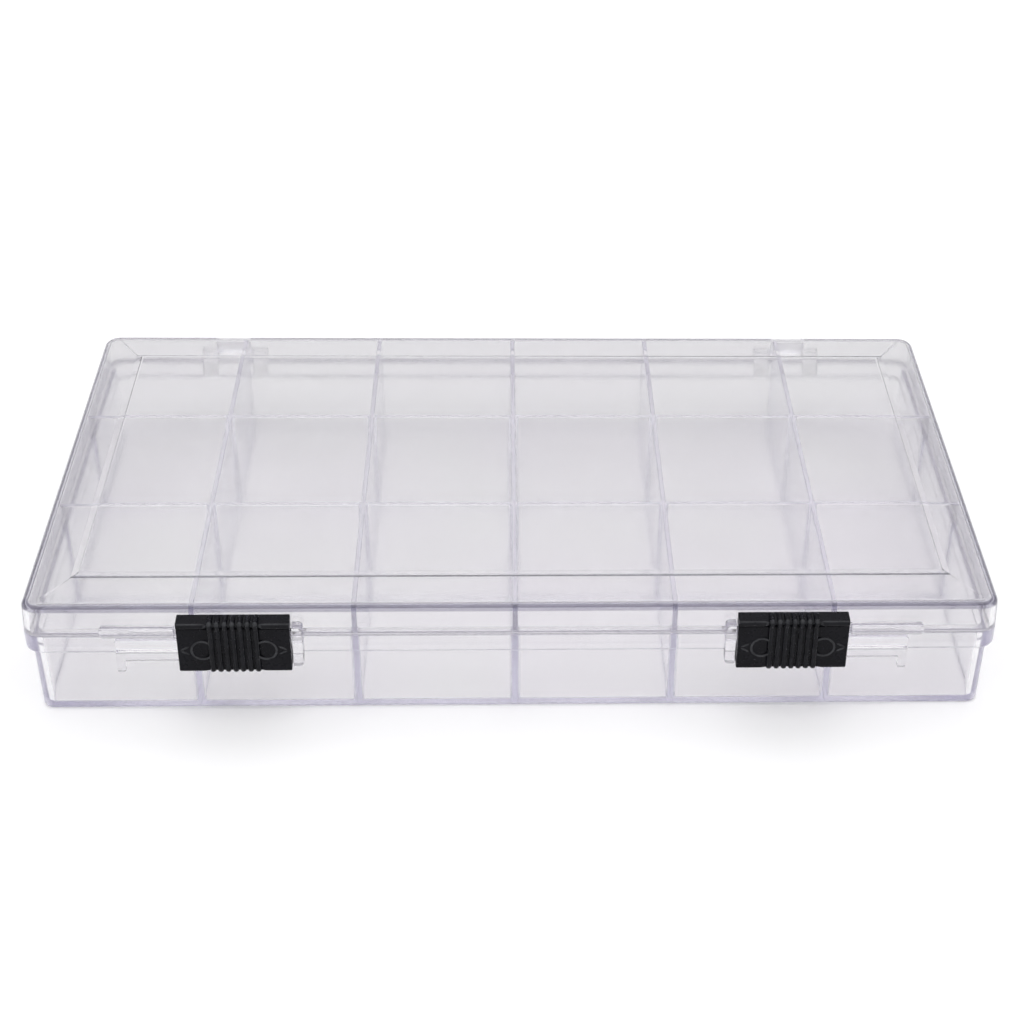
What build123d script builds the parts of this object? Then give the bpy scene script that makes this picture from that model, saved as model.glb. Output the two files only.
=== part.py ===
from build123d import *

import os

# A clear compartment box: a tray with 18 moulded pockets, a lid hinged along the back and two black
# latches that slide on rails across the front. +X runs along the length, -Y is the latch side, +Z is up.
# The origin is on the table, under the middle of the closed box. All lengths are in millimetres.

# Driving dimensions
LENGTH = 276.0  # rim band and lower edge of the lid, along X
DEPTH = 160.0  # the same, along Y
HEIGHT = 38.0  # closed box, up to the raised panel of the lid
PARTING_Z = 27.6  # the lid rests on the tray here
GAP = 0.3  # air between pieces that pass each other
FRONT_Y = -DEPTH / 2
BACK_Y = DEPTH / 2

# Tray
FLOOR = 1.8
BAND_Z = 21.5  # underside of the rim band, where the wall steps in
CORNER = 5.5  # plan radius of the band and of the lid
WALL_LENGTH = 272.6  # outside of the wall under the band
WALL_DEPTH = 155.2
WALL_CORNER = 4.0
WALL_DRAFT = 1.3  # degrees
BOTTOM_FILLET = 2.4
CAVITY_LENGTH = 267.4  # inside of the wall, at the floor
CAVITY_DEPTH = 150.8
CAVITY_CORNER = 2.5
CAVITY_DRAFT = 1.0
TONGUE_LENGTH = 270.8  # raised lip that the skirt of the lid drops over
TONGUE_DEPTH = 154.8
TONGUE_CORNER = 3.2
TONGUE_Z = 29.2
TONGUE_CHAMFER = 0.4

# Dividers
COLUMNS = 6
ROWS = 3
COLUMN_PITCH = 45.2
ROW_PITCH = 52.0
DIVIDER_TOP_Z = 35.9
DIVIDER_TOP = 1.2  # thickness at the top edge
DIVIDER_BOTTOM = 2.1  # thickness at the floor
DIVIDER_SPAN_X = 270.4  # across the tongue, inside the skirt of the lid
DIVIDER_SPAN_Y = 154.4

# Lid
LID_DRAFT = 2.75
SKIRT = 2.0
FRAME_Z = 37.5  # flat border of the lid, round the raised panel
UNDERSIDE_Z = 36.2
LID_FILLET = 1.2
PANEL_LENGTH = 251.0  # foot of the raised panel
PANEL_DEPTH = 130.4
PANEL_SLOPE = 2.3  # width of the panel's sloping edge

# Front rails and stops, mirrored left and right
RAIL_PROUD = 1.6
RAIL_BOTTOM_Z = 20.0  # the rail's lip hangs below the band, so that the latch can hook behind it
RAIL_END_X = 112.0
RAIL_ROUND = 1.2
GROOVE_Z = 24.2  # middle of the guide groove along the rail
GROOVE_MOUTH = 2.0
GROOVE_FLOOR = 1.2
GROOVE_DEPTH = 1.0
STOP_X = (59.4, 62.4)
STOP_PROUD = 3.0
STOP_Z = (19.0, 32.4)
NUB_LENGTH = 2.0  # outer stop under the rail's end
NUB_BOTTOM_Z = 18.2
CATCH_X = (95.2, 116.0)  # rib on the lid that a closed latch reaches over
CATCH_TOP_Z = 31.3

# Latches, in the open position against the inner stops
LATCH_X = (62.7, 94.1)
LATCH_FACE = 4.4  # front face, below the lip and between the ribs
LATCH_LIP = 4.9  # front edge of the lip along the top
LIP_Z = (33.3, 34.4)  # foot of the lip and its front top edge
LATCH_BOTTOM_Z = 18.8
LATCH_TOP_Z = 35.2
LATCH_BEVEL = 0.5
HOOK_TIP = 1.8  # how far the lower hook reaches behind the band's face
RIB_COUNT = 7
RIB_PITCH = 2.1
RIB_WIDTH = 1.2
RIB_PROUD = 0.6
RIB_ROOT = 0.5  # how deep the ribs' solids reach into the walls of the clip
SLIDE_CLEARANCE = 0.2

# Hinges
HINGE_X = 95.0
KNUCKLE_LENGTH = 5.0
LUG_LENGTH = 11.4
BARREL_RADIUS = 2.6
PIN_RADIUS = 0.9
PIN_CLEARANCE = 0.05
PIN_LENGTH = 21.6
AXIS_Y = BACK_Y + BARREL_RADIUS + GAP
AXIS_Z = PARTING_Z + 0.2
DIAGONAL = BARREL_RADIUS / 2**0.5  # from the axis to where a 45 degree gusset meets the barrel
HINGE_SPAN = LUG_LENGTH + 2 * (GAP + KNUCKLE_LENGTH)


def front_points(*pairs):
    """Turns (distance in front of the band, height) pairs into points of a plane across X."""
    return [(FRONT_Y - proud, z) for proud, z in pairs]


def write(part, label):
    """Labels a finished piece and writes its STEP file."""
    part.label = label
    export_step(part, f"parts/{label}.step")


os.makedirs("parts", exist_ok=True)

# Space inside the tray: the pocket between the walls, and a wider slab over the tongue where the
# dividers rise into the lid. It is cut from the tray and it trims the dividers.
with BuildPart() as cavity:
    with BuildSketch(Plane.XY.offset(FLOOR)):
        RectangleRounded(CAVITY_LENGTH, CAVITY_DEPTH, CAVITY_CORNER)
    extrude(amount=TONGUE_Z - FLOOR, taper=-CAVITY_DRAFT)

with BuildPart() as divider_space:
    add(cavity.part)
    with BuildSketch(Plane.XY.offset(TONGUE_Z)):
        Rectangle(DIVIDER_SPAN_X, DIVIDER_SPAN_Y)
    extrude(amount=DIVIDER_TOP_Z - TONGUE_Z)

# Tray: floor, walls, rim band, tongue, front rails and rear knuckles
with BuildPart() as tray_shell:
    with BuildSketch(Plane.XY.offset(BAND_Z)):
        RectangleRounded(WALL_LENGTH, WALL_DEPTH, WALL_CORNER)
    extrude(amount=-BAND_Z, taper=WALL_DRAFT)
    fillet(tray_shell.faces().sort_by(Axis.Z)[0].edges(), BOTTOM_FILLET)
    with BuildSketch(Plane.XY.offset(BAND_Z)):
        RectangleRounded(LENGTH, DEPTH, CORNER)
    extrude(amount=PARTING_Z - BAND_Z)
    with BuildSketch(Plane.XY.offset(PARTING_Z)):
        RectangleRounded(TONGUE_LENGTH, TONGUE_DEPTH, TONGUE_CORNER)
    extrude(amount=TONGUE_Z - PARTING_Z)
    chamfer(tray_shell.faces().sort_by(Axis.Z)[-1].edges(), TONGUE_CHAMFER)
    add(cavity.part, mode=Mode.SUBTRACT)

    for side in (-1, 1):
        # rail, square at the inner stop and rounded at its outer end
        rail_length = RAIL_END_X - STOP_X[0]
        rail_height = PARTING_Z - GAP - RAIL_BOTTOM_Z
        with BuildSketch(Plane.XZ.offset(-FRONT_Y)) as rail:
            with Locations((side * (STOP_X[0] + rail_length / 2), RAIL_BOTTOM_Z + rail_height / 2)):
                Rectangle(rail_length, rail_height)
            fillet(rail.vertices().group_by(Axis.X)[0 if side < 0 else -1], RAIL_ROUND)
        extrude(amount=RAIL_PROUD)
        # stop at the inner end
        stop_height = PARTING_Z - GAP - STOP_Z[0]
        with BuildSketch(Plane.XZ.offset(-FRONT_Y)):
            with Locations((side * sum(STOP_X) / 2, STOP_Z[0] + stop_height / 2)):
                Rectangle(STOP_X[1] - STOP_X[0], stop_height)
        extrude(amount=STOP_PROUD)
        # nub under the outer end
        nub_height = RAIL_BOTTOM_Z + RAIL_ROUND - NUB_BOTTOM_Z
        with BuildSketch(Plane.XZ.offset(-FRONT_Y)):
            with Locations((side * (RAIL_END_X - NUB_LENGTH / 2), NUB_BOTTOM_Z + nub_height / 2)):
                Rectangle(NUB_LENGTH, nub_height)
        extrude(amount=RAIL_PROUD)
        # guide groove
        with BuildSketch(Plane.YZ.offset(side * STOP_X[1])):
            with BuildLine():
                Polyline(
                    *front_points(
                        (RAIL_PROUD, GROOVE_Z - GROOVE_MOUTH / 2),
                        (RAIL_PROUD - GROOVE_DEPTH, GROOVE_Z - GROOVE_FLOOR / 2),
                        (RAIL_PROUD - GROOVE_DEPTH, GROOVE_Z + GROOVE_FLOOR / 2),
                        (RAIL_PROUD, GROOVE_Z + GROOVE_MOUTH / 2),
                    ),
                    close=True,
                )
            make_face()
        extrude(amount=side * (RAIL_END_X - STOP_X[1]), mode=Mode.SUBTRACT)
        # two knuckles a hinge, each with a 45 degree gusset down to the band
        for start in (-HINGE_SPAN / 2, HINGE_SPAN / 2 - KNUCKLE_LENGTH):
            with BuildSketch(Plane.YZ.offset(side * HINGE_X + start)):
                with BuildLine():
                    Polyline(
                        (BACK_Y - 1, PARTING_Z - GAP),
                        (AXIS_Y, PARTING_Z - GAP),
                        (AXIS_Y + DIAGONAL, AXIS_Z - DIAGONAL),
                        (BACK_Y, AXIS_Z - DIAGONAL - (AXIS_Y + DIAGONAL - BACK_Y)),
                        (BACK_Y - 1, AXIS_Z - DIAGONAL - (AXIS_Y + DIAGONAL - BACK_Y)),
                        close=True,
                    )
                make_face()
                with Locations((AXIS_Y, AXIS_Z)):
                    Circle(BARREL_RADIUS)
                    Circle(PIN_RADIUS, mode=Mode.SUBTRACT)
            extrude(amount=KNUCKLE_LENGTH)

write(tray_shell.part, "tray_shell")

# Two dividers along the whole length
for name, row in (("long_divider_front", -0.5), ("long_divider_rear", 0.5)):
    middle_y = row * ROW_PITCH
    with BuildPart() as long_divider:
        with BuildSketch(Plane.YZ.offset(-DIVIDER_SPAN_X / 2)):
            with BuildLine():
                Polyline(
                    (middle_y - DIVIDER_BOTTOM / 2, FLOOR),
                    (middle_y + DIVIDER_BOTTOM / 2, FLOOR),
                    (middle_y + DIVIDER_TOP / 2, DIVIDER_TOP_Z),
                    (middle_y - DIVIDER_TOP / 2, DIVIDER_TOP_Z),
                    close=True,
                )
            make_face()
        extrude(amount=DIVIDER_SPAN_X)
        add(divider_space.part, mode=Mode.INTERSECT)
    write(long_divider.part, name)

# Five cross dividers, each in three lengths between the walls and the long dividers
for column in range(1, COLUMNS):
    middle_x = (column - COLUMNS / 2) * COLUMN_PITCH
    with BuildPart() as cross_divider:
        with BuildSketch(Plane.XZ.offset(-DIVIDER_SPAN_Y / 2)):
            with BuildLine():
                Polyline(
                    (middle_x - DIVIDER_BOTTOM / 2, FLOOR),
                    (middle_x + DIVIDER_BOTTOM / 2, FLOOR),
                    (middle_x + DIVIDER_TOP / 2, DIVIDER_TOP_Z),
                    (middle_x - DIVIDER_TOP / 2, DIVIDER_TOP_Z),
                    close=True,
                )
            make_face()
        extrude(amount=DIVIDER_SPAN_Y)
        add(divider_space.part, mode=Mode.INTERSECT)
        for row in (-0.5, 0.5):
            middle_y = row * ROW_PITCH
            with BuildSketch(Plane.YZ.offset(middle_x - DIVIDER_BOTTOM)):
                with BuildLine():
                    Polyline(
                        (middle_y - DIVIDER_BOTTOM / 2, FLOOR),
                        (middle_y + DIVIDER_BOTTOM / 2, FLOOR),
                        (middle_y + DIVIDER_TOP / 2, DIVIDER_TOP_Z),
                        (middle_y - DIVIDER_TOP / 2, DIVIDER_TOP_Z),
                        close=True,
                    )
                make_face()
            extrude(amount=2 * DIVIDER_BOTTOM, mode=Mode.SUBTRACT)
    write(cross_divider.part, f"cross_divider_{column}")

# Lid: drafted skirt, flat border, raised panel, catch ribs and stops in front, lugs behind
with BuildPart() as lid:
    with BuildSketch(Plane.XY.offset(PARTING_Z)):
        RectangleRounded(LENGTH, DEPTH, CORNER)
    extrude(amount=FRAME_Z - PARTING_Z, taper=LID_DRAFT)
    fillet(lid.faces().sort_by(Axis.Z)[-1].edges(), LID_FILLET)
    with BuildSketch(Plane.XY.offset(FRAME_Z)):
        Rectangle(PANEL_LENGTH, PANEL_DEPTH)
    with BuildSketch(Plane.XY.offset(HEIGHT)):
        Rectangle(PANEL_LENGTH - 2 * PANEL_SLOPE, PANEL_DEPTH - 2 * PANEL_SLOPE)
    loft()
    with BuildSketch(Plane.XY.offset(PARTING_Z)):
        RectangleRounded(LENGTH - 2 * SKIRT, DEPTH - 2 * SKIRT, CORNER - SKIRT)
    extrude(amount=UNDERSIDE_Z - PARTING_Z, taper=LID_DRAFT, mode=Mode.SUBTRACT)

    for side in (-1, 1):
        # catch rib, rounded at its outer end
        catch_bottom_z = PARTING_Z + GAP
        with BuildSketch(Plane.XZ.offset(-FRONT_Y - SKIRT / 2)) as catch:
            with Locations((side * sum(CATCH_X) / 2, (catch_bottom_z + CATCH_TOP_Z) / 2)):
                Rectangle(CATCH_X[1] - CATCH_X[0], CATCH_TOP_Z - catch_bottom_z)
            fillet(catch.vertices().group_by(Axis.X)[0 if side < 0 else -1], RAIL_ROUND)
        extrude(amount=SKIRT / 2 + RAIL_PROUD)
        # stop above the one on the tray
        with BuildSketch(Plane.XZ.offset(-FRONT_Y - SKIRT / 2)):
            with Locations((side * sum(STOP_X) / 2, (catch_bottom_z + STOP_Z[1]) / 2)):
                Rectangle(STOP_X[1] - STOP_X[0], STOP_Z[1] - catch_bottom_z)
        extrude(amount=SKIRT / 2 + STOP_PROUD)
        # lug between the knuckles, with a 45 degree gusset up to the skirt
        with BuildSketch(Plane.YZ.offset(side * HINGE_X - LUG_LENGTH / 2)):
            with BuildLine():
                Polyline(
                    (BACK_Y - SKIRT / 2, catch_bottom_z),
                    (AXIS_Y, catch_bottom_z),
                    (AXIS_Y + DIAGONAL, AXIS_Z + DIAGONAL),
                    (BACK_Y - SKIRT / 2, AXIS_Z + DIAGONAL + (AXIS_Y + DIAGONAL - BACK_Y + SKIRT / 2)),
                    close=True,
                )
            make_face()
            with Locations((AXIS_Y, AXIS_Z)):
                Circle(BARREL_RADIUS)
                Circle(PIN_RADIUS + PIN_CLEARANCE, mode=Mode.SUBTRACT)
        extrude(amount=LUG_LENGTH)

write(lid.part, "lid")

# Sliding latches: a C-shaped clip that hooks behind the rail's lip, with a lip along its top edge and
# seven finger ribs that wrap over the top, the face and the bottom
inner_face = RAIL_PROUD + SLIDE_CLEARANCE
plate_top_z = RAIL_BOTTOM_Z - SLIDE_CLEARANCE
hood_bottom_z = CATCH_TOP_Z + GAP
bead_reach = RAIL_PROUD - GROOVE_DEPTH + SLIDE_CLEARANCE
clip_outline = front_points(
    (-HOOK_TIP, LATCH_BOTTOM_Z + LATCH_BEVEL),
    (-HOOK_TIP, BAND_Z - SLIDE_CLEARANCE),
    (-SLIDE_CLEARANCE, BAND_Z - SLIDE_CLEARANCE),
    (-SLIDE_CLEARANCE, plate_top_z),
    (inner_face, plate_top_z),
    (inner_face, GROOVE_Z - GROOVE_MOUTH / 2 + SLIDE_CLEARANCE),
    (bead_reach, GROOVE_Z - GROOVE_FLOOR / 2 + SLIDE_CLEARANCE),
    (bead_reach, GROOVE_Z + GROOVE_FLOOR / 2 - SLIDE_CLEARANCE),
    (inner_face, GROOVE_Z + GROOVE_MOUTH / 2 - SLIDE_CLEARANCE),
    (inner_face, hood_bottom_z),
    (GAP, hood_bottom_z),
    (GAP, LATCH_TOP_Z),
    (LATCH_LIP - LATCH_BEVEL, LIP_Z[1] + LATCH_BEVEL / 2),
    (LATCH_LIP, LIP_Z[1]),
    (LATCH_LIP, LIP_Z[0] + LATCH_BEVEL),
    (LATCH_FACE, LIP_Z[0]),
    (LATCH_FACE, LATCH_BOTTOM_Z + LATCH_BEVEL),
    (LATCH_FACE - LATCH_BEVEL, LATCH_BOTTOM_Z),
    (-HOOK_TIP + LATCH_BEVEL, LATCH_BOTTOM_Z),
)
rib_outline = front_points(
    (2 * GAP, LATCH_TOP_Z - RIB_ROOT),
    (2 * GAP, LATCH_TOP_Z + RIB_PROUD),
    (LATCH_LIP, LIP_Z[1] + RIB_PROUD),
    (LATCH_LIP + RIB_PROUD, LIP_Z[1]),
    (LATCH_LIP + RIB_PROUD, LIP_Z[0] + LATCH_BEVEL),
    (LATCH_FACE + RIB_PROUD, LIP_Z[0]),
    (LATCH_FACE + RIB_PROUD, LATCH_BOTTOM_Z),
    (LATCH_FACE, LATCH_BOTTOM_Z - RIB_PROUD),
    (2 * GAP, LATCH_BOTTOM_Z - RIB_PROUD),
    (2 * GAP, LATCH_BOTTOM_Z + RIB_ROOT),
    (LATCH_FACE - RIB_ROOT, LATCH_BOTTOM_Z + RIB_ROOT),
    (LATCH_FACE - RIB_ROOT, LIP_Z[0]),
)
for name, side in (("latch_left", -1), ("latch_right", 1)):
    with BuildPart() as latch:
        with BuildSketch(Plane.YZ.offset(side * LATCH_X[0])):
            with BuildLine():
                Polyline(*clip_outline, close=True)
            make_face()
        extrude(amount=side * (LATCH_X[1] - LATCH_X[0]))
        for rib in range(RIB_COUNT):
            rib_x = side * sum(LATCH_X) / 2 + (rib - (RIB_COUNT - 1) / 2) * RIB_PITCH
            with BuildSketch(Plane.YZ.offset(rib_x - RIB_WIDTH / 2)):
                with BuildLine():
                    Polyline(*rib_outline, close=True)
                make_face()
            extrude(amount=RIB_WIDTH)
    write(latch.part, name)

# Hinge pins, pressed into the knuckles and free in the lugs
for name, side in (("hinge_pin_left", -1), ("hinge_pin_right", 1)):
    with BuildPart() as hinge_pin:
        with BuildSketch(Plane.YZ.offset(side * HINGE_X - PIN_LENGTH / 2)):
            with Locations((AXIS_Y, AXIS_Z)):
                Circle(PIN_RADIUS)
        extrude(amount=PIN_LENGTH)
    write(hinge_pin.part, name)
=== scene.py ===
import math

import bmesh
import bpy
from mathutils import Matrix, Vector


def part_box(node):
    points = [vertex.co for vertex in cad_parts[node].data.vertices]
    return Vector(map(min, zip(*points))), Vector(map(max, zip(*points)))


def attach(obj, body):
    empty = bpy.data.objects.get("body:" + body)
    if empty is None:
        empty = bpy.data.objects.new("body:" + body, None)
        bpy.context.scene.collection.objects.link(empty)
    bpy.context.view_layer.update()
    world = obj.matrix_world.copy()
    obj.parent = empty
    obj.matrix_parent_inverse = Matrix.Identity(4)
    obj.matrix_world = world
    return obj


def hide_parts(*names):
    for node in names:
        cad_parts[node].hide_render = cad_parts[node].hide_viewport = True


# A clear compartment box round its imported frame: one tray moulding with 18 pockets, one lid moulding,
# two black sliding latches and two hinge pins. Meshes are worked out in millimetres and made in metres.
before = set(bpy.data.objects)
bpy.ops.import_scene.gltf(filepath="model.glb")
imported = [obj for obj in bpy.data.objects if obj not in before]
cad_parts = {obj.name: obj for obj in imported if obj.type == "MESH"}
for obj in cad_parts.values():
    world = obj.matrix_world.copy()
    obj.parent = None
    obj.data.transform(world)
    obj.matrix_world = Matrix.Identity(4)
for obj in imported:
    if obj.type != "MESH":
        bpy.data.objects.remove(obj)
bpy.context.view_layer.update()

MM = 0.001


def node_box(node):
    """Lowest and highest corner of a CAD node, in millimetres."""
    low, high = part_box(node)
    return low / MM, high / MM


def middle(node, axis):
    """Middle of a CAD node along one axis, in millimetres."""
    low, high = node_box(node)
    return (low[axis] + high[axis]) / 2


# Places read from the frame
lid_high = node_box("lid")[1]
divider_low, divider_high = node_box("long_divider_front")
pin_low, pin_high = node_box("hinge_pin_right")
latch_low, latch_high = node_box("latch_right")
HALF_LENGTH = lid_high.x
HEIGHT = lid_high.z
FLOOR = divider_low.z
DIVIDER_TOP_Z = divider_high.z
COLUMNS_X = [middle(f"cross_divider_{number}", 0) for number in range(1, 6)]
ROWS_Y = [middle("long_divider_front", 1), middle("long_divider_rear", 1)]
HINGE_X = middle("hinge_pin_right", 0)
AXIS_Y = middle("hinge_pin_right", 1)
AXIS_Z = middle("hinge_pin_right", 2)
PIN_RADIUS = (pin_high.z - pin_low.z) / 2
PIN_LENGTH = pin_high.x - pin_low.x
LATCH_X = (latch_low.x, latch_high.x)

# Tray
HALF_DEPTH = 80.0
PARTING_Z = 27.6
PARTING_AIR = 0.06  # hairline left open between the two mouldings
BAND_Z = 21.5
BAND_ROUND = 1.2  # rounding of the band's lower edge
CORNER = 5.5
WALL = (136.3, 77.6)  # half sizes of the wall under the rim band
WALL_CORNER = 4.0
WALL_SLOPE = math.tan(math.radians(1.3))
BOTTOM_FILLET = 1.0
CAVITY = (133.7, 75.4)
CAVITY_CORNER = 2.5
CAVITY_SLOPE = math.tan(math.radians(1.0))
TONGUE = (135.4, 77.4)
TONGUE_CORNER = 3.2
TONGUE_Z = 27.75
TONGUE_CHAMFER = 0.1
DIVIDER = (1.56, 1.42)  # thickness at the foot and at the top
POCKET_CORNER = 0.8
FLOOR_FILLET = 0.4
EDGE = 0.35  # rounding of the moulded edges
PARTING_EDGE = 0.12  # rounding of the edges that meet at the parting line
SKIM = 0.02  # keeps two cutting planes from falling together
DIVIDER_LIP = ((-0.35, 0.0), (-0.17, 0.05), (-0.04, 0.16), (0.1, 0.4))  # height past the top, widening

# Lid
LID_SLOPE = math.tan(math.radians(2.75))
SKIRT = 1.6
FRAME_Z = 37.5
UNDERSIDE_Z = 36.2
LID_FILLET = 2.3
UNDERSIDE_FILLET = 0.8
PANEL = (125.5, 65.2)
PANEL_SLOPE = 2.3
PANEL_CORNER = 0.4
CREASE = (0.28, 0.14)  # half width and depth of the fine line round the panel
SIDE_CREASE = 1.6  # how much deeper the line is at the sides
CREASE_INSET = 1.2  # from the panel's front and rear edges to the ends of the side lines

# Rails, stops and catches on the front face
GAP = 0.3
RAIL_PROUD = 1.6
RAIL_Z = (20.0, PARTING_Z - GAP)
RAIL_END_X = 112.0
RAIL_ROUND = 1.2
GROOVE_Z = 24.2
GROOVE_MOUTH = 2.0
GROOVE_FLOOR = 1.2
GROOVE_DEPTH = 1.0
STOP_X = (59.4, 62.4)
STOP_PROUD = 3.0
STOP_Z = (19.0, 32.4)
STOP_ROUND = 1.3
SMALL_ROUND = 0.3
SHARP_ROUND = 0.05
NUB_Z = (16.3, 21.2)
NUB_LENGTH = 2.4
CATCH_X = (95.2, 116.0)
CATCH_TOP_Z = 31.3

# Hinges
KNUCKLE_LENGTH = 5.0
LUG_LENGTH = 11.4
BARREL_RADIUS = 2.59
BARREL_STEP = 9  # degrees
BARREL_EDGE = 0.25
BARREL_ROOT = 1.0  # how far the gussets reach into the walls
PRESSED_AIR = 0.03  # round a pin in the tray's knuckles
TURNING_AIR = 0.05  # round a pin in the lid's lugs

# Latches
LATCH_FACE = 4.4
LATCH_LIP = 4.9
LIP_Z = (33.4, 35.05)
LIP_GROOVE = (0.6, 0.45)  # depth and height of the groove under the lip
LATCH_BOTTOM_Z = 18.5
LATCH_TOP_Z = 35.35
HOOK_TIP = 1.8
SLIDE_AIR = 0.2
RIB_COUNT = 7
RIB_PITCH = 2.1
RIB_HALF_WIDTH = 0.78
RIB_VALLEY = 0.4  # how far the gaps between the ribs lie below the face
RIB_PROUD = 0.6
LATCH_EDGE = 0.3
MARK_Z = 25.9
RING_X = 8.8  # from the middle of the latch to the middle of a thumb ring
RING_RADIUS = 3.0
ARROW_TIP = 14.8
ARROW_SIZE = (2.4, 1.35)
ARROW_GAP = 0.12
MARK_RIDGE = 0.26
RING_SWEEP = 136  # degrees each way, so that both ends lie inside the outermost rib
PIN_ROUND = 0.3


# ---- mesh helpers ----


def outline(half_x, half_y, radius, steps=10, middle_x=0.0, middle_y=0.0):
    """Anticlockwise rectangle with four equal rounded corners, as a list of pairs."""
    return box_outline(
        (middle_x - half_x, middle_x + half_x), (middle_y - half_y, middle_y + half_y), [radius] * 4, steps
    )


def box_outline(across, along, radii, steps):
    """Anticlockwise rectangle whose corners have their own radii, from the low-y high-x corner on."""
    corners = (
        (across[1], along[0], -1, 1, -90),
        (across[1], along[1], -1, -1, 0),
        (across[0], along[1], 1, -1, 90),
        (across[0], along[0], 1, 1, 180),
    )
    points = []
    for (x, y, in_x, in_y, start), radius in zip(corners, radii):
        for step in range(steps + 1):
            angle = math.radians(start + 90 * step / steps)
            reach = (in_x * radius + radius * math.cos(angle), in_y * radius + radius * math.sin(angle))
            points.append((x + reach[0], y + reach[1]))
    return points


def quarter(radius, steps):
    """(run, rise) pairs along a quarter circle, at first tangent to the run and at last to the rise."""
    turns = (math.radians(90 * step / steps) for step in range(steps + 1))
    return [(radius * math.sin(turn), radius * (1 - math.cos(turn))) for turn in turns]


def at_height(points, z):
    return [(x, y, z) for x, y in points]


def skin(name, rings):
    """Closed mesh through a stack of rings with equal counts, with a cap on the first and on the last."""
    mesh = bmesh.new()
    rows = [[mesh.verts.new([value * MM for value in point]) for point in ring] for ring in rings]
    for low, high in zip(rows, rows[1:]):
        for index in range(len(low)):
            after = (index + 1) % len(low)
            mesh.faces.new((low[index], low[after], high[after], high[index]))
    caps = [mesh.faces.new(rows[0][::-1]), mesh.faces.new(rows[-1])]
    bmesh.ops.recalc_face_normals(mesh, faces=mesh.faces)
    bmesh.ops.triangulate(mesh, faces=caps)
    return as_object(name, mesh)


def as_object(name, mesh):
    data = bpy.data.meshes.new(name)
    mesh.to_mesh(data)
    mesh.free()
    piece = bpy.data.objects.new(name, data)
    bpy.context.scene.collection.objects.link(piece)
    return piece


def joined(name, pieces):
    """One object that holds the meshes of several, which are removed."""
    mesh = bmesh.new()
    for piece in pieces:
        mesh.from_mesh(piece.data)
        bpy.data.objects.remove(piece)
    return as_object(name, mesh)


def merge(piece, tool, operation):
    """Exact boolean of a piece with one tool, which is used up."""
    modifier = piece.modifiers.new("merge", "BOOLEAN")
    modifier.operation = operation
    modifier.solver = "EXACT"
    modifier.object = tool
    bpy.context.view_layer.update()
    result = piece.evaluated_get(bpy.context.evaluated_depsgraph_get())
    data = bpy.data.meshes.new_from_object(result)
    piece.modifiers.clear()
    piece.data = data
    bpy.data.objects.remove(tool)


def finish_surface(piece, sharp_degrees=38):
    """Merges doubles, keeps hard edges sharp and lets large flat faces keep their true normals."""
    mesh = bmesh.new()
    mesh.from_mesh(piece.data)
    bmesh.ops.remove_doubles(mesh, verts=mesh.verts, dist=0.002 * MM)
    bmesh.ops.dissolve_degenerate(mesh, edges=mesh.edges, dist=0.002 * MM)
    bmesh.ops.recalc_face_normals(mesh, faces=mesh.faces)
    for edge in mesh.edges:
        edge.smooth = len(edge.link_faces) == 2 and edge.calc_face_angle(0) < math.radians(sharp_degrees)
    for face in mesh.faces:
        face.smooth = True
    mesh.to_mesh(piece.data)
    mesh.free()
    weighted = piece.modifiers.new("weighted normals", "WEIGHTED_NORMAL")
    weighted.keep_sharp = True
    weighted.weight = 100


def front_plate(name, across, height, proud, back, radii):
    """Raised plate on the front face, with rounded corners and a rounded front edge."""
    smallest = min(across[1] - across[0], height[1] - height[0])
    edge = min(EDGE, smallest / 3)
    depths = [(back, 0.0)] + [(proud - edge + run, rise) for run, rise in quarter(edge, 3)]
    rings = []
    for depth, inset in depths:
        shape = box_outline(
            (across[0] + inset, across[1] - inset),
            (height[0] + inset, height[1] - inset),
            [max(radius - inset, SHARP_ROUND) for radius in radii],
            5,
        )
        rings.append([(x, -HALF_DEPTH - depth, z) for x, z in shape])
    return skin(name, rings)


def inset_outline(points, amount):
    """Moves each point of an anticlockwise outline inwards, along its corner's bisector."""
    moved = []
    for index, point in enumerate(points):
        before = Vector(points[index - 1])
        here = Vector(point)
        after = Vector(points[(index + 1) % len(points)])
        first = (here - before).normalized()
        second = (after - here).normalized()
        normal = Vector((-first.y - second.y, first.x + second.x))
        reach = max(normal.length_squared / 2, 0.35)
        moved.append(tuple(here + normal * (amount / reach)))
    return moved


def bar(name, shape, start, end, edge=0.0):
    """Solid along X with an anticlockwise outline in Y and Z, rounded round both of its ends."""
    rounding = [(edge - run, rise) for run, rise in quarter(edge, 3)] if edge else [(0.0, 0.0)]
    stations = [(start + depth, inset) for depth, inset in reversed(rounding)]
    stations += [(end - depth, inset) for depth, inset in rounding]
    return skin(name, [[(x, y, z) for y, z in inset_outline(shape, inset)] for x, inset in stations])


def span(side, first, second):
    """Range along X on one side of the middle, lowest first."""
    return tuple(sorted((side * first, side * second)))


def on_barrel(radius, angle):
    """Point in Y and Z round the hinge's axis."""
    return (AXIS_Y + radius * math.cos(angle), AXIS_Z + radius * math.sin(angle))


def circle(radius, count=40):
    """Circle round the hinge's axis."""
    return [on_barrel(radius, 2 * math.pi * index / count) for index in range(count)]


# ---- tray ----


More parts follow.
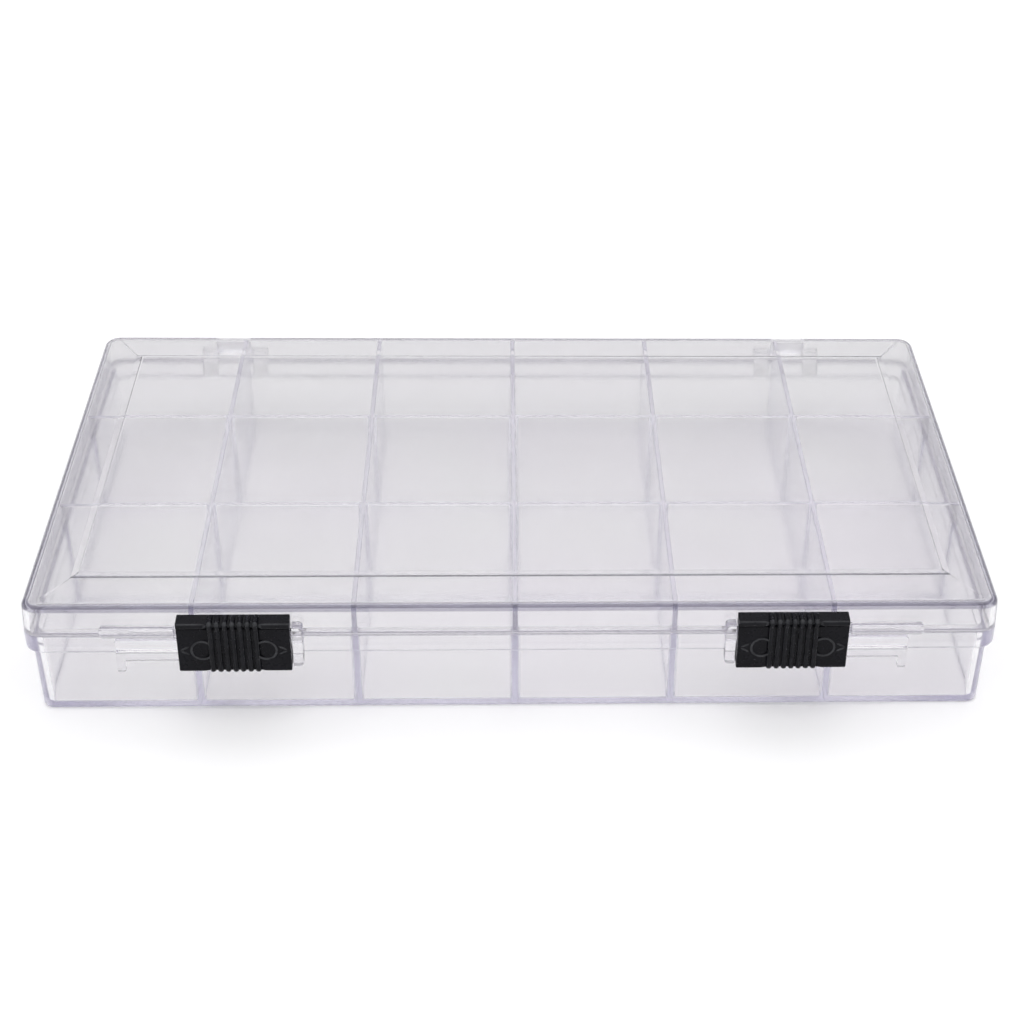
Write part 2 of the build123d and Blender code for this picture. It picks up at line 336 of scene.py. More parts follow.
def pocket(column, row):
    """Solid that is cut out of the tray for one pocket. Above the tongue it runs out past the walls."""
    last_column, last_row = len(COLUMNS_X), len(ROWS_Y)

    def ring(z, grow=0.0, reach=None):
        taper = (z - FLOOR) / (DIVIDER_TOP_Z - FLOOR)
        half = (DIVIDER[0] + (DIVIDER[1] - DIVIDER[0]) * taper) / 2 - grow
        wall = [side + (z - FLOOR) * CAVITY_SLOPE + grow for side in CAVITY]
        outer = reach or wall
        across = (
            COLUMNS_X[column - 1] + half if column > 0 else -outer[0],
            COLUMNS_X[column] - half if column < last_column else outer[0],
        )
        along = (
            ROWS_Y[row - 1] + half if row > 0 else -outer[1],
            ROWS_Y[row] - half if row < last_row else outer[1],
        )
        corners = ((last_column, 0), (last_column, last_row), (0, last_row), (0, 0))
        plain = [CAVITY_CORNER if (column, row) == corner else POCKET_CORNER for corner in corners]
        radii = [max(radius + grow, 0.1) for radius in plain]
        return at_height(box_outline(across, along, radii, 5), z)

    rings = [ring(FLOOR + rise, grow=-(FLOOR_FILLET - run)) for run, rise in quarter(FLOOR_FILLET, 5)]
    rings.append(ring(TONGUE_Z))
    past = (TONGUE[0] + 4, TONGUE[1] + 4)
    rings.append(ring(TONGUE_Z + SKIM, reach=past))
    rings += [ring(DIVIDER_TOP_Z + up, grow, past) for up, grow in DIVIDER_LIP]
    return skin("pocket", rings)


def wall_rings():
    """Outside of the tray from its base up, with the dividers' block above the tongue."""

    def wall(z, inset=0.0):
        draft = (BAND_Z - z) * WALL_SLOPE + inset
        return at_height(outline(WALL[0] - draft, WALL[1] - draft, max(WALL_CORNER - draft, 0.6)), z)

    def band(z, inset=0.0):
        return at_height(outline(HALF_LENGTH - inset, HALF_DEPTH - inset, CORNER - inset), z)

    def tongue(z, inset=0.0):
        return at_height(outline(TONGUE[0] - inset, TONGUE[1] - inset, TONGUE_CORNER - inset), z)

    rings = [wall(rise, BOTTOM_FILLET - run) for run, rise in quarter(BOTTOM_FILLET, 6)]
    rings.append(wall(BAND_Z))
    rings += [band(BAND_Z + rise, BAND_ROUND - run) for run, rise in quarter(BAND_ROUND, 5)]
    top = PARTING_Z - PARTING_AIR
    rings += [band(top - rise, PARTING_EDGE - run) for run, rise in reversed(quarter(PARTING_EDGE, 3))]
    rings.append(tongue(top))
    rings.append(tongue(TONGUE_Z - SKIM - TONGUE_CHAMFER))
    rings.append(tongue(TONGUE_Z - SKIM, TONGUE_CHAMFER))
    rings.append(tongue(DIVIDER_TOP_Z, TONGUE_CHAMFER))
    return rings


def outer_end(side, outer, inner):
    """Corner radii, low-z high-x corner first, with the outer ones away from the middle of the box."""
    return (outer, outer, inner, inner) if side > 0 else (inner, inner, outer, outer)


def rail_parts(side):
    """Rail with its guide groove, the stop at its inner end and the nub under its outer end."""
    rail_x = span(side, STOP_X[0] + 0.5, RAIL_END_X)
    ends = outer_end(side, RAIL_ROUND, SHARP_ROUND)
    rail = front_plate("rail", rail_x, RAIL_Z, RAIL_PROUD, -0.1, ends)
    bottom = -HALF_DEPTH - RAIL_PROUD + GROOVE_DEPTH
    mouth = -HALF_DEPTH - RAIL_PROUD - 0.5
    groove = [
        (mouth, GROOVE_Z - GROOVE_MOUTH / 2 - 0.2),
        (bottom, GROOVE_Z - GROOVE_FLOOR / 2),
        (bottom, GROOVE_Z + GROOVE_FLOOR / 2),
        (mouth, GROOVE_Z + GROOVE_MOUTH / 2 + 0.2),
    ]
    merge(rail, bar("groove", groove, *span(side, STOP_X[1], RAIL_END_X + 1)), "DIFFERENCE")
    small = [SMALL_ROUND] * 3
    inner = (*small, STOP_ROUND) if side > 0 else (STOP_ROUND, *small)
    stop_z = (STOP_Z[0], PARTING_Z - GAP)
    stop = front_plate("stop", span(side, *STOP_X), stop_z, STOP_PROUD, -0.1, inner)
    nub_x = span(side, RAIL_END_X - NUB_LENGTH, RAIL_END_X)
    nub = front_plate("nub", nub_x, NUB_Z, RAIL_PROUD - SKIM, -0.08, (0.5, 0.5, SMALL_ROUND, SMALL_ROUND))
    return [rail, stop, nub]


def knuckle(start):
    """Barrel of the tray's hinge with a gusset down to the band."""
    shape = [on_barrel(BARREL_RADIUS, math.radians(angle)) for angle in range(-45, 192, BARREL_STEP)]
    tangent_y, foot = shape[0]
    foot -= tangent_y - HALF_DEPTH
    top = PARTING_Z - GAP
    shape = [point for point in shape if point[1] > top or point[0] > AXIS_Y]
    shape += [(AXIS_Y - BARREL_RADIUS * 0.98, top), (HALF_DEPTH - BARREL_ROOT, top)]
    shape += [(HALF_DEPTH - BARREL_ROOT, foot), (HALF_DEPTH, foot)]
    return bar("knuckle", shape, start, start + KNUCKLE_LENGTH, BARREL_EDGE)


def lug(start):
    """Barrel of the lid's hinge with a gusset up to the skirt."""
    shape = [on_barrel(BARREL_RADIUS, math.radians(angle)) for angle in range(168, 406, BARREL_STEP)]
    tangent_y, head = on_barrel(BARREL_RADIUS, math.radians(45))
    root_y = HALF_DEPTH - BARREL_ROOT
    bottom = PARTING_Z + GAP
    shape = [point for point in shape if point[1] < bottom or point[0] > AXIS_Y]
    shape += [(root_y, head + tangent_y - root_y), (root_y, bottom), (AXIS_Y - BARREL_RADIUS * 0.98, bottom)]
    return bar("lug", shape, start, start + LUG_LENGTH, BARREL_EDGE)


def bores(radius):
    """Both hinge bores as one cutting tool."""
    half = PIN_LENGTH / 2 + 1
    tools = [
        bar("bore", circle(radius), side * HINGE_X - half, side * HINGE_X + half)
        for side in (-1, 1)
    ]
    return joined("bores", tools)


def make_tray():
    tray = skin("tray_moulding", wall_rings())
    columns, rows = len(COLUMNS_X) + 1, len(ROWS_Y) + 1
    cuts = [pocket(column, row) for column in range(columns) for row in range(rows)]
    merge(tray, joined("pockets", cuts), "DIFFERENCE")
    for side in (-1, 1):
        for part in rail_parts(side):
            merge(tray, part, "UNION")
    half = LUG_LENGTH / 2 + GAP + KNUCKLE_LENGTH
    starts = [side * HINGE_X + offset for side in (-1, 1) for offset in (-half, half - KNUCKLE_LENGTH)]
    merge(tray, joined("knuckles", [knuckle(start) for start in starts]), "UNION")
    merge(tray, bores(PIN_RADIUS + PRESSED_AIR), "DIFFERENCE")
    finish_surface(tray)
    return tray


# ---- lid ----


def lid_rings():
    """From the middle of the underside down inside the skirt, up its outside and over the raised panel."""

    def shell(z, inset=0.0):
        draft = (z - PARTING_Z) * LID_SLOPE + inset
        return at_height(outline(HALF_LENGTH - draft, HALF_DEPTH - draft, max(CORNER - draft, 0.5)), z)

    bottom = PARTING_Z + PARTING_AIR
    inside = SKIRT + UNDERSIDE_FILLET
    rings = [shell(UNDERSIDE_Z - rise, inside - run) for run, rise in quarter(UNDERSIDE_FILLET, 4)]
    rings.append(shell(bottom + 0.2, SKIRT))
    rings.append(shell(bottom, SKIRT - 0.2))
    rings += [shell(bottom + rise, PARTING_EDGE - run) for run, rise in quarter(PARTING_EDGE, 3)]
    rings += [shell(FRAME_Z - rise, LID_FILLET - run) for run, rise in reversed(quarter(LID_FILLET, 6))]
    step = HEIGHT - FRAME_Z
    panel = ((0.0, 0.0), (0.25, 0.03), (PANEL_SLOPE - 0.3, step - 0.06), (PANEL_SLOPE, step))
    for inset, rise in panel:
        shape = outline(PANEL[0] - inset, PANEL[1] - inset, PANEL_CORNER)
        rings.append(at_height(shape, FRAME_Z + rise))
    return rings


def catch_parts(side):
    """Catch rib and the stop above the tray's stop, both reaching into the drafted skirt."""
    low = PARTING_Z + GAP
    ends = outer_end(side, RAIL_ROUND, SMALL_ROUND)
    catch = front_plate("catch", span(side, *CATCH_X), (low, CATCH_TOP_Z), RAIL_PROUD, -1.0, ends)
    inner = [SMALL_ROUND] * 4
    inner[2 if side > 0 else 1] = STOP_ROUND
    stop = front_plate("stop", span(side, *STOP_X), (low, STOP_Z[1]), STOP_PROUD, -1.0, inner)
    return [catch, stop]


def creases():
    """Fine lines round the panel: along its foot in front and behind, along its top edge at the sides."""
    slope = CREASE[0] / CREASE[1]
    clear_of = 0.5  # how far the cutting tools stand above the lid

    def notch(middle_of, surface, depth):
        width = slope * (clear_of + depth)
        top = surface + clear_of
        return [(middle_of - width, top), (middle_of, surface - depth), (middle_of + width, top)]

    tools = []
    for side in (-1, 1):
        across = notch(side * PANEL[1], FRAME_Z, CREASE[1])
        tools.append(skin("crease", [[(x, y, z) for y, z in across] for x in (-PANEL[0], PANEL[0])]))
        along = notch(side * (PANEL[0] - PANEL_SLOPE), HEIGHT, CREASE[1] * SIDE_CREASE)
        reach = PANEL[1] - CREASE_INSET
        tools.append(skin("crease", [[(x, y, z) for x, z in along] for y in (reach, -reach)]))
    return joined("creases", tools)


def make_lid():
    lid = skin("lid_moulding", lid_rings())
    merge(lid, creases(), "DIFFERENCE")
    parts = [part for side in (-1, 1) for part in catch_parts(side)]
    parts += [lug(side * HINGE_X - LUG_LENGTH / 2) for side in (-1, 1)]
    merge(lid, joined("parts", parts), "UNION")
    merge(lid, bores(PIN_RADIUS + TURNING_AIR), "DIFFERENCE")
    finish_surface(lid)
    return lid


# ---- latches ----


def rounded(points, radii, steps=4, spacing=0.8):
    """Outline with rounded corners, and points on its straight runs no further apart than the spacing."""
    arcs = []
    for index, (point, radius) in enumerate(zip(points, radii)):
        here = Vector(point)
        before = (Vector(points[index - 1]) - here).normalized()
        after = (Vector(points[(index + 1) % len(points)]) - here).normalized()
        turn = before.angle(after)
        back = radius / math.tan(turn / 2) if radius else 0.0
        if not radius or turn > math.radians(176):
            arcs.append([here])
            continue
        start, end = here + before * back, here + after * back
        arc = []
        for step in range(steps + 1):
            t = step / steps
            arc.append(start * (1 - t) ** 2 + here * 2 * t * (1 - t) + end * t ** 2)
        arcs.append(arc)
    smooth = []
    for index, arc in enumerate(arcs):
        smooth += arc
        following = arcs[(index + 1) % len(arcs)][0]
        pieces = max(1, math.ceil((following - arc[-1]).length / spacing))
        smooth += [arc[-1].lerp(following, part / pieces) for part in range(1, pieces)]
    return [tuple(point) for point in smooth]


def clip_outline():
    """Section of a latch as (distance in front of the band, height), anticlockwise seen from +X."""
    inner = RAIL_PROUD + SLIDE_AIR
    plate = RAIL_Z[0] - SLIDE_AIR
    bead = RAIL_PROUD - GROOVE_DEPTH + SLIDE_AIR
    corners = (
        (-HOOK_TIP, LATCH_BOTTOM_Z, 0.35),
        (LATCH_FACE, LATCH_BOTTOM_Z, 0.55),
        (LATCH_FACE, LIP_Z[0] - LIP_GROOVE[1], 0.12),
        (LATCH_FACE - LIP_GROOVE[0], LIP_Z[0] - LIP_GROOVE[1] / 2, 0.06),
        (LATCH_LIP - 0.12, LIP_Z[0], 0.08),
        (LATCH_LIP, LIP_Z[0] + 0.4, 0.1),
        (LATCH_LIP, LIP_Z[1], 0.42),
        (GAP, LATCH_TOP_Z, 0.25),
        (GAP, CATCH_TOP_Z + GAP, 0.15),
        (inner, CATCH_TOP_Z + GAP, 0.3),
        (inner, GROOVE_Z + GROOVE_MOUTH / 2 - SLIDE_AIR, 0.1),
        (bead, GROOVE_Z + GROOVE_FLOOR / 2 - SLIDE_AIR, 0.12),
        (bead, GROOVE_Z - GROOVE_FLOOR / 2 + SLIDE_AIR, 0.12),
        (inner, GROOVE_Z - GROOVE_MOUTH / 2 + SLIDE_AIR, 0.1),
        (inner, plate, 0.3),
        (-SLIDE_AIR, plate, 0.15),
        (-SLIDE_AIR, BAND_Z - SLIDE_AIR, 0.2),
        (-HOOK_TIP, BAND_Z - SLIDE_AIR, 0.3),
    )
    return rounded([(run, z) for run, z, radius in corners], [radius for run, z, radius in corners])


def rib_height(x):
    """How far the surface stands out at a distance from the latch's middle: ribs with sunk gaps."""
    outermost = RIB_PITCH * (RIB_COUNT - 1) / 2
    nearest = max(-outermost, min(outermost, round(x / RIB_PITCH) * RIB_PITCH))
    share = abs(x - nearest) / RIB_HALF_WIDTH
    if share < 1:
        return (RIB_PROUD + RIB_VALLEY) * math.sqrt(1 - share * share) - RIB_VALLEY
    return -RIB_VALLEY if abs(x) < outermost else 0.0


def rib_share(run, z):
    """Share of the ribs' height round the clip: full in front, lower above and below, none inside."""
    if z < LATCH_BOTTOM_Z + 0.5:
        full = 0.6
    elif z > LIP_Z[1] + 0.1:
        full = 0.7
    else:
        full = 1.0 if run > LATCH_FACE - LIP_GROOVE[0] - 0.1 else 0.0
    share = min(max((run - GAP - 0.3) / 0.7, 0.0), 1.0)
    return full * share * share * (3 - 2 * share)


def latch_stations(length):
    """Distances from the middle of the latch and the inset of its section at each."""
    ends = [(length / 2 - LATCH_EDGE + run, rise) for run, rise in quarter(LATCH_EDGE, 3)]
    ribs_end = RIB_PITCH * (RIB_COUNT - 1) / 2 + RIB_HALF_WIDTH
    samples = set()
    turns = [math.radians(angle) for angle in range(-90, 91, 15)]
    for rib in range(RIB_COUNT):
        peak = (rib - (RIB_COUNT - 1) / 2) * RIB_PITCH
        samples |= {round(peak + RIB_HALF_WIDTH * math.sin(turn), 4) for turn in turns}
    samples |= {round(side * (ribs_end + part * 1.5), 4) for side in (-1, 1) for part in range(1, 5)}
    stations = [(-x, inset) for x, inset in reversed(ends)]
    stations += [(x, 0.0) for x in sorted(samples)]
    return stations + ends


def ridge(name, path, radius):
    """Thin raised line on the face of a latch, through (x, z) points, with pointed ends."""
    rings = []
    for index, (x, z) in enumerate(path):
        before = Vector(path[max(index - 1, 0)])
        after = Vector(path[min(index + 1, len(path) - 1)])
        across = Vector((-(after - before).y, (after - before).x)).normalized()
        size = radius * (0.35 if index in (0, len(path) - 1) else 1.0)
        ring = []
        for step in range(8):
            turn = 2 * math.pi * step / 8
            aside = across * (size * 1.5 * math.cos(turn))
            ring.append((x + aside.x, -HALF_DEPTH - LATCH_FACE - size * math.sin(turn), z + aside.y))
        rings.append(ring)
    return skin(name, rings)


def latch_marks(middle_x):
    """A thumb ring each side of the ribs and a generic arrow towards each end."""
    marks = []
    for side in (-1, 1):
        centre = middle_x + side * RING_X
        arc = [math.radians(angle) for angle in range(-RING_SWEEP, RING_SWEEP + 1, 8)]
        reach = side * RING_RADIUS
        path = [(centre + reach * math.cos(turn), MARK_Z + RING_RADIUS * math.sin(turn)) for turn in arc]
        marks.append(ridge("ring", path, MARK_RIDGE))
        tip = middle_x + side * ARROW_TIP
        for way in (-1, 1):
            tail = (tip - side * ARROW_SIZE[0], MARK_Z + way * ARROW_SIZE[1])
            head = (tip, MARK_Z + way * ARROW_GAP)
            path = [tuple(Vector(tail).lerp(Vector(head), part / 4)) for part in range(5)]
            marks.append(ridge("arrow", path, MARK_RIDGE))
    return marks


def make_latch(name, side):
    length = LATCH_X[1] - LATCH_X[0]
    middle_x = side * sum(LATCH_X) / 2
    shape = clip_outline()
    outwards = [
        (Vector(far) - Vector(near)).normalized() * rib_share(*near)
        for near, far in zip(shape, inset_outline(shape, -1.0))
    ]
    rings = []
    for x, inset in latch_stations(length):
        section = zip(inset_outline(shape, inset), outwards)
        moved = [Vector(point) + out * rib_height(x) for point, out in section]
        rings.append([(middle_x + x, -HALF_DEPTH - run, z) for run, z in moved])
    latch = skin(name, rings)
    for mark in latch_marks(middle_x):
        merge(latch, mark, "UNION")
    finish_surface(latch, 42)
    return latch


def make_pin(name, side):
    """Hinge pin with domed ends."""
    ends = [(PIN_LENGTH / 2 - PIN_ROUND + run, rise) for run, rise in quarter(PIN_ROUND, 4)]
    stations = [(-x, inset) for x, inset in reversed(ends)] + ends
    rings = []
    for x, inset in stations:
        rings.append([(side * HINGE_X + x, y, z) for y, z in circle(PIN_RADIUS - inset, 32)])
    return skin(name, rings)


# ---- materials ----

FLAT_COLOR = (0.946, 0.946, 0.944, 1)
ROSY_COLOR = (0.942, 0.935, 0.944, 1)
DIVIDER_COLOR = (0.99, 0.988, 0.992, 1)
# Outer walls: the plastic's depth of colour, with painted shade that grows from front to rear.
FRONT_WALL_TINT_AND_SHADE = (0.90, 0.895, 0.905, 1)
REAR_WALL_TINT_AND_SHADE = (0.79, 0.787, 0.797, 1)
# Painted shade on the rounded outer edges, standing for dark surroundings seen inside them.
EDGE_SHADE_COLOR = (0.30, 0.29, 0.36, 1)
# Painted shade: grey on the tray's top land, which shows as a thin line at the parting line.
LAND_SHADE_COLOR = (0.60, 0.59, 0.61, 1)
# Painted shade in the fine crease round the panel.
CREASE_SHADE_COLOR = (0.13, 0.13, 0.135, 1)
# Paler colour of the latches' lip edge, raised marks and rib tops: painted highlight, partly wear.
WORN_AND_HIGHLIGHT_COLOR = (0.044, 0.045, 0.049, 1)
HAZE = (0.085, 0.125)  # least and greatest roughness of the clear plastic


def new_material(name):
    material = bpy.data.materials.new(name)
    material.use_nodes = True
    return material, material.node_tree.nodes, material.node_tree.links


def noise(nodes, links, position, scale, detail=2.0):
    """Noise over the object's own coordinates, with the scale in waves per metre."""
    texture = nodes.new("ShaderNodeTexNoise")
    texture.inputs["Scale"].default_value = scale
    texture.inputs["Detail"].default_value = detail
    links.new(position, texture.inputs["Vector"])
    return texture.outputs["Fac"]


def remap(nodes, links, value, low, high, to_low=0.0, to_high=1.0):
    """Value carried from one range to another and held at its ends."""
    range_node = nodes.new("ShaderNodeMapRange")
    range_node.inputs["From Min"].default_value = low
    range_node.inputs["From Max"].default_value = high
    range_node.inputs["To Min"].default_value = to_low
    range_node.inputs["To Max"].default_value = to_high
    links.new(value, range_node.inputs["Value"])
    return range_node.outputs["Result"]


def bump(nodes, links, height, strength, distance):
    node = nodes.new("ShaderNodeBump")
    node.inputs["Strength"].default_value = strength
    node.inputs["Distance"].default_value = distance
    links.new(height, node.inputs["Height"])
    return node.outputs["Normal"]


def math_node(nodes, links, operation, first, second=None):
    """Math node on a socket, with a second socket or a number."""
    node = nodes.new("ShaderNodeMath")
    node.operation = operation
    links.new(first, node.inputs[0])
    if isinstance(second, (int, float)):
        node.inputs[1].default_value = second
    elif second:
        links.new(second, node.inputs[1])
    return node.outputs["Value"]


def product(nodes, links, first, *others):
    """Product of several sockets."""
    for other in others:
        first = math_node(nodes, links, "MULTIPLY", first, other)
    return first


def mixed(nodes, links, share, first, second):
    """Colour between two, which are sockets or plain colours."""
    node = nodes.new("ShaderNodeMix")
    node.data_type = "RGBA"
    links.new(share, node.inputs[0])
    for source, socket in ((first, node.inputs[6]), (second, node.inputs[7])):
        if isinstance(source, tuple):
            socket.default_value = source
        else:
            links.new(source, socket)
    return node.outputs[2]


def wall_share(nodes, links, x, y):
    """Socket that is 1 in the outer walls, and 0 inside them and on what stands out in front and behind."""
    across = math_node(nodes, links, "ABSOLUTE", x)
    along = math_node(nodes, links, "ABSOLUTE", y)
    past_x = math_node(nodes, links, "SUBTRACT", across, (CAVITY[0] - 0.8) * MM)
    past_y = math_node(nodes, links, "SUBTRACT", along, (CAVITY[1] - 0.8) * MM)
    past = math_node(nodes, links, "MAXIMUM", past_x, past_y)
    outside = remap(nodes, links, past, 0.0, 0.5 * MM)
    within = remap(nodes, links, along, (HALF_DEPTH + 0.1) * MM, (HALF_DEPTH + 0.4) * MM, 1.0, 0.0)
    return product(nodes, links, outside, within)


def plastic_color(nodes, links, position, normal):
    """Tint of the clear plastic: depth of colour along its walls, and painted shade on the walls towards the
    rear, on the rounded edges, on the parting land and in the panel's crease.
    """
    place = nodes.new("ShaderNodeSeparateXYZ")
    links.new(position, place.inputs["Vector"])
    height = place.outputs["Z"]
    facing = nodes.new("ShaderNodeSeparateXYZ")
    links.new(normal, facing.inputs["Vector"])
    level = product(nodes, links, facing.outputs["Z"], facing.outputs["Z"])
    upright = remap(nodes, links, level, 0.0, 1.0, 1.0, 0.0)
    rim = wall_share(nodes, links, place.outputs["X"], place.outputs["Y"])
    behind = remap(nodes, links, place.outputs["Y"], -HALF_DEPTH * MM, HALF_DEPTH * MM)

    patches = remap(nodes, links, noise(nodes, links, position, 14.0, 1.0), 0.35, 0.65)
    flats = mixed(nodes, links, patches, FLAT_COLOR, ROSY_COLOR)
    inside = mixed(nodes, links, upright, flats, DIVIDER_COLOR)
    # Outer walls darker towards the rear: painted shade over the plastic's depth of colour.
    outside = mixed(nodes, links, behind, FRONT_WALL_TINT_AND_SHADE, REAR_WALL_TINT_AND_SHADE)
    color = mixed(nodes, links, product(nodes, links, rim, upright), inside, outside)

    # Painted shade on the tray's top land at the parting line.
    above = remap(nodes, links, height, (PARTING_Z - 0.4) * MM, (PARTING_Z - 0.2) * MM)
    below = remap(nodes, links, height, (TONGUE_Z + 0.1) * MM, (TONGUE_Z + 0.3) * MM, 1.0, 0.0)
    color = mixed(nodes, links, product(nodes, links, above, below, rim), color, LAND_SHADE_COLOR)

    # Painted shade in the crease round the raised panel.
    top = remap(nodes, links, height, (FRAME_Z - 0.5) * MM, (FRAME_Z - 0.3) * MM)
    sloping = remap(nodes, links, level, 0.86, 0.93, 1.0, 0.0)
    off_rim = remap(nodes, links, rim, 0.0, 1.0, 1.0, 0.0)
    color = mixed(nodes, links, product(nodes, links, top, sloping, off_rim), color, CREASE_SHADE_COLOR)

    # Painted shade on the rounded outer edges of the walls, stronger in front and from the parting line up.
    leaning = remap(nodes, links, level, 0.005, 0.04)
    not_flat = remap(nodes, links, level, 0.75, 0.97, 1.0, 0.0)
    nearer = remap(nodes, links, behind, 0.1, 1.0, 1.0, 0.35)
    higher = remap(nodes, links, height, 0.029, 0.033, 0.4, 1.0)
    edge = product(nodes, links, leaning, not_flat, nearer, rim, higher)
    return mixed(nodes, links, edge, color, EDGE_SHADE_COLOR)


def clear_plastic(name, tint_density):
    """Clear moulded polystyrene: faint ripples and haze, violet-grey depth in walls, and painted violet-grey
    shade on walls, edges and creases.
    """
    material, nodes, links = new_material(name)
    shader = nodes["Principled BSDF"]
    shader.inputs["Transmission Weight"].default_value = 1.0
    shader.inputs["IOR"].default_value = 1.57
    own = nodes.new("ShaderNodeTexCoord").outputs
    position = own["Object"]
    links.new(plastic_color(nodes, links, position, own["Normal"]), shader.inputs["Base Color"])
    haze = noise(nodes, links, position, 55.0, 3.0)
    links.new(remap(nodes, links, haze, 0.35, 0.7, *HAZE), shader.inputs["Roughness"])
    ripple = bump(nodes, links, noise(nodes, links, position, 28.0, 1.0), 0.007, 0.002)
    links.new(ripple, shader.inputs["Normal"])
    depth = nodes.new("ShaderNodeVolumeAbsorption")
    depth.inputs["Color"].default_value = (0.76, 0.74, 0.87, 1)
    depth.inputs["Density"].default_value = tint_density
    links.new(depth.outputs["Volume"], nodes["Material Output"].inputs["Volume"])
    return material


def latch_wear_and_highlight(nodes, links, position):
    """Painted highlight, partly wear: high on the raised marks and along the lip's top edge, where fingers
    rub, low on the rib tops, else 0.
    """
    parts = nodes.new("ShaderNodeSeparateXYZ")
    links.new(position, parts.inputs["Vector"])
    proud = remap(nodes, links, parts.outputs["Y"], -HALF_DEPTH * MM, -(HALF_DEPTH + 6) * MM, 0.0, 6.0)
    # Raised marks paler: painted highlight, partly wear.
    marks = remap(nodes, links, proud, LATCH_FACE + 0.03, LATCH_FACE + 0.2)
    not_ribs = remap(nodes, links, proud, LATCH_FACE + 0.28, LATCH_FACE + 0.42, 1.0, 0.0)
    marks = product(nodes, links, marks, not_ribs)
    # Rib tops a little paler: painted highlight.
    ribs = remap(nodes, links, proud, LATCH_FACE + 0.42, LATCH_FACE + RIB_PROUD, 0.0, 0.2)
    marks = math_node(nodes, links, "MAXIMUM", marks, ribs)
    # Painted highlight along the lip's rounded top edge, partly wear.
    lip = remap(nodes, links, parts.outputs["Z"], (LIP_Z[1] - 0.5) * MM, (LIP_Z[1] - 0.1) * MM)
    lip = product(nodes, links, lip, remap(nodes, links, proud, LATCH_FACE, LATCH_LIP - 0.1))
    patchy = remap(nodes, links, noise(nodes, links, position, 380.0, 3.0), 0.3, 0.6, 0.45, 1.0)
    return product(nodes, links, math_node(nodes, links, "MAXIMUM", marks, lip), patchy)


def latch_plastic():
    """Black satin plastic with a fine grain, uneven sheen, and paler edges and marks that are painted
    highlight, partly rubbed wear.
    """
    material, nodes, links = new_material("latch_plastic")
    shader = nodes["Principled BSDF"]
    position = nodes.new("ShaderNodeTexCoord").outputs["Object"]
    shader.inputs["Specular IOR Level"].default_value = 0.12
    shade = nodes.new("ShaderNodeValToRGB")
    shade.color_ramp.elements[0].position = 0.35
    shade.color_ramp.elements[0].color = (0.0026, 0.0026, 0.0044, 1)
    shade.color_ramp.elements[1].position = 0.75
    shade.color_ramp.elements[1].color = (0.0050, 0.0050, 0.0078, 1)
    links.new(noise(nodes, links, position, 160.0, 4.0), shade.inputs["Fac"])
    wear_and_highlight = latch_wear_and_highlight(nodes, links, position)
    links.new(mixed(nodes, links, wear_and_highlight, shade.outputs["Color"], WORN_AND_HIGHLIGHT_COLOR), shader.inputs["Base Color"])
    sheen = noise(nodes, links, position, 700.0, 3.0)
    links.new(remap(nodes, links, sheen, 0.3, 0.7, 0.22, 0.38), shader.inputs["Roughness"])
    grain = bump(nodes, links, noise(nodes, links, position, 2600.0, 2.0), 0.15, 0.0002)
    links.new(grain, shader.inputs["Normal"])
    return material


def floor_paper():
    """White studio paper."""
    material, nodes, links = new_material("floor_paper")
    shader = nodes["Principled BSDF"]
    position = nodes.new("ShaderNodeTexCoord").outputs["Object"]
    shade = nodes.new("ShaderNodeValToRGB")
    shade.color_ramp.elements[0].color = (0.93, 0.93, 0.93, 1)
    shade.color_ramp.elements[1].color = (0.95, 0.95, 0.95, 1)
    links.new(noise(nodes, links, position, 9.0), shade.inputs["Fac"])
    links.new(shade.outputs["Color"], shader.inputs["Base Color"])
    shader.inputs["Roughness"].default_value = 0.9
    shader.inputs["Specular IOR Level"].default_value = 0.0
    return material


# ---- pieces ----

clear = clear_plastic("clear_plastic", 8.0)
pin_clear = clear_plastic("pin_plastic", 12.0)
black = latch_plastic()


def place(piece, body, slot, material, *replaced):
    piece.data.materials.clear()
    piece.data.materials.append(material)
    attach(piece, body)
    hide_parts(*replaced)


cross_dividers = [f"cross_divider_{number}" for number in range(1, 6)]
place(
    make_tray(), "tray", "clear_styrene", clear, "tray_shell", "long_divider_front", "long_divider_rear",
    *cross_dividers,
)
place(make_lid(), "lid", "clear_styrene", clear, "lid")
for name, side in (("latch_left", -1), ("latch_right", 1)):
    place(make_latch(f"{name}_clip", side), name, "latch_black", black, name)
for name, side in (("hinge_pin_left", -1), ("hinge_pin_right", 1)):
    place(make_pin(f"{name}_rod", side), "tray", "pin_clear", pin_clear, name)


# ---- stage, light and camera ----

PAPER_HALF_SIZE = 4.0
PAPER_Z = -0.05 * MM
CEILING_STRENGTH = 1.95
SURROUND_COLOR = (0.29, 0.288, 0.298, 1)
SURROUND_TOP = 0.68
CEILING_START = 0.82
CAMERA_PLACE = (-0.0029, -0.5532, 0.3747)
CAMERA_PITCH = 34.43
CAMERA_YAW = 3.373
CAMERA_ROLL = 1.700
CAMERA_LENS = 72.98
CAMERA_SHIFT = (-0.0913, 0.0561)
CLEAR_BOUNCES = 96  # light passes many faces of the clear walls, and too few bounces turn edges black

paper = bmesh.new()
bmesh.ops.create_grid(paper, x_segments=1, y_segments=1, size=PAPER_HALF_SIZE)
bmesh.ops.translate(paper, verts=paper.verts, vec=(0, 0, PAPER_Z))
floor = as_object("floor", paper)
floor.data.materials.append(floor_paper())


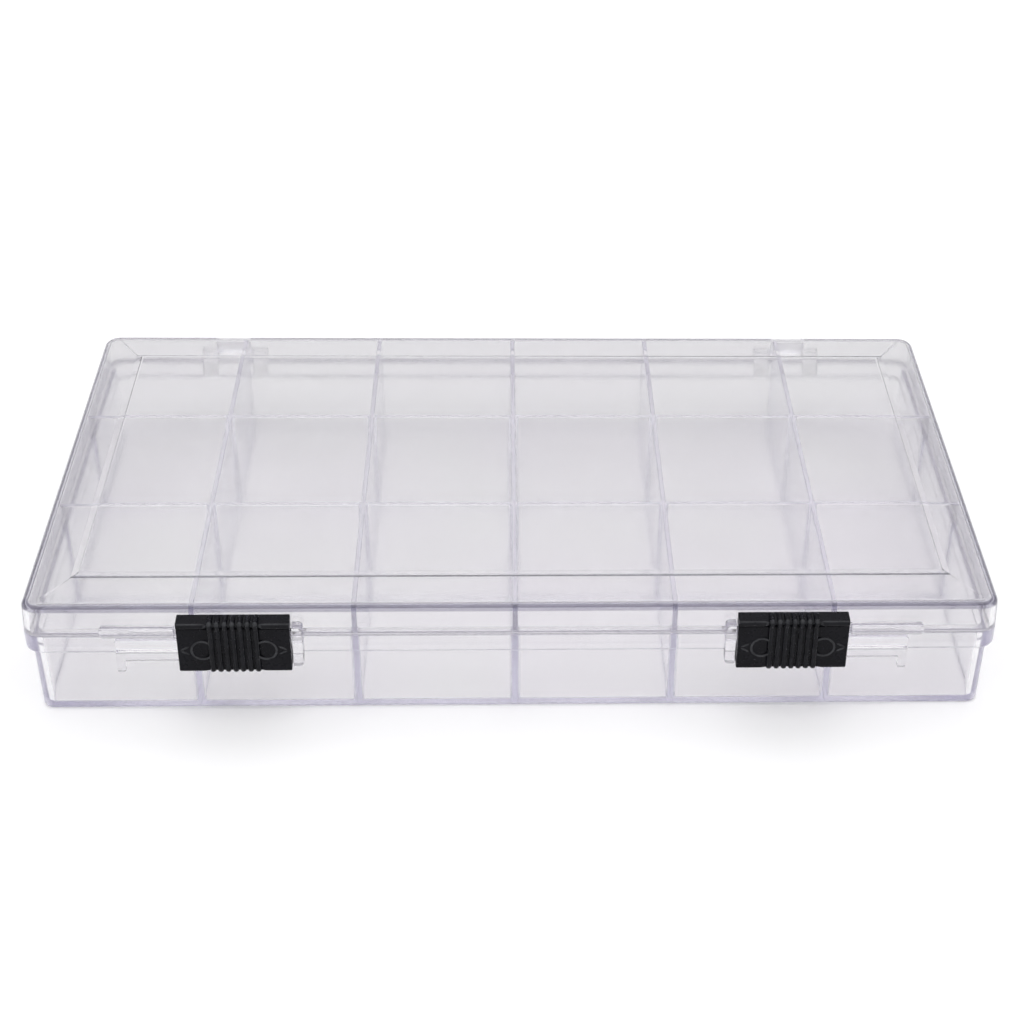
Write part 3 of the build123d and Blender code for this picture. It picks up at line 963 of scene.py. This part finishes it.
def studio_world():
    """Bright soft ceiling over dimmer, slightly violet surroundings."""
    world = bpy.data.worlds.new("studio")
    world.use_nodes = True
    nodes, links = world.node_tree.nodes, world.node_tree.links
    parts = nodes.new("ShaderNodeSeparateXYZ")
    links.new(nodes.new("ShaderNodeTexCoord").outputs["Generated"], parts.inputs["Vector"])
    shade = nodes.new("ShaderNodeValToRGB")
    shade.color_ramp.elements[0].position = SURROUND_TOP
    shade.color_ramp.elements[0].color = SURROUND_COLOR
    shade.color_ramp.elements[1].position = CEILING_START
    shade.color_ramp.elements[1].color = (1.0, 1.0, 1.0, 1)
    links.new(parts.outputs["Z"], shade.inputs["Fac"])
    links.new(shade.outputs["Color"], nodes["Background"].inputs["Color"])
    nodes["Background"].inputs["Strength"].default_value = CEILING_STRENGTH
    bpy.context.scene.world = world


def add_camera():
    """Camera at the photograph's viewing angle, with a small shift for its framing."""
    pitch, yaw, roll = (math.radians(angle) for angle in (CAMERA_PITCH, CAMERA_YAW, CAMERA_ROLL))
    ahead = Vector((math.sin(yaw) * math.cos(pitch), math.cos(yaw) * math.cos(pitch), -math.sin(pitch)))
    level = Vector((math.cos(yaw), -math.sin(yaw), 0.0))
    above = level.cross(ahead)
    right = math.cos(roll) * level + math.sin(roll) * above
    up = math.cos(roll) * above - math.sin(roll) * level
    data = bpy.data.cameras.new("camera")
    data.sensor_width = 36.0
    data.lens = CAMERA_LENS
    data.shift_x, data.shift_y = CAMERA_SHIFT
    data.clip_start = 0.01
    camera = bpy.data.objects.new("camera", data)
    turn = Matrix((right, up, -ahead)).transposed().to_4x4()
    camera.matrix_world = Matrix.Translation(CAMERA_PLACE) @ turn
    bpy.context.scene.collection.objects.link(camera)
    bpy.context.scene.camera = camera


studio_world()
add_camera()
bpy.context.scene.view_settings.view_transform = "Standard"
light_paths = bpy.context.scene.cycles
light_paths.max_bounces = CLEAR_BOUNCES
light_paths.transmission_bounces = CLEAR_BOUNCES
light_paths.glossy_bounces = CLEAR_BOUNCES
light_paths.diffuse_bounces = 8
light_paths.blur_glossy = 0.0
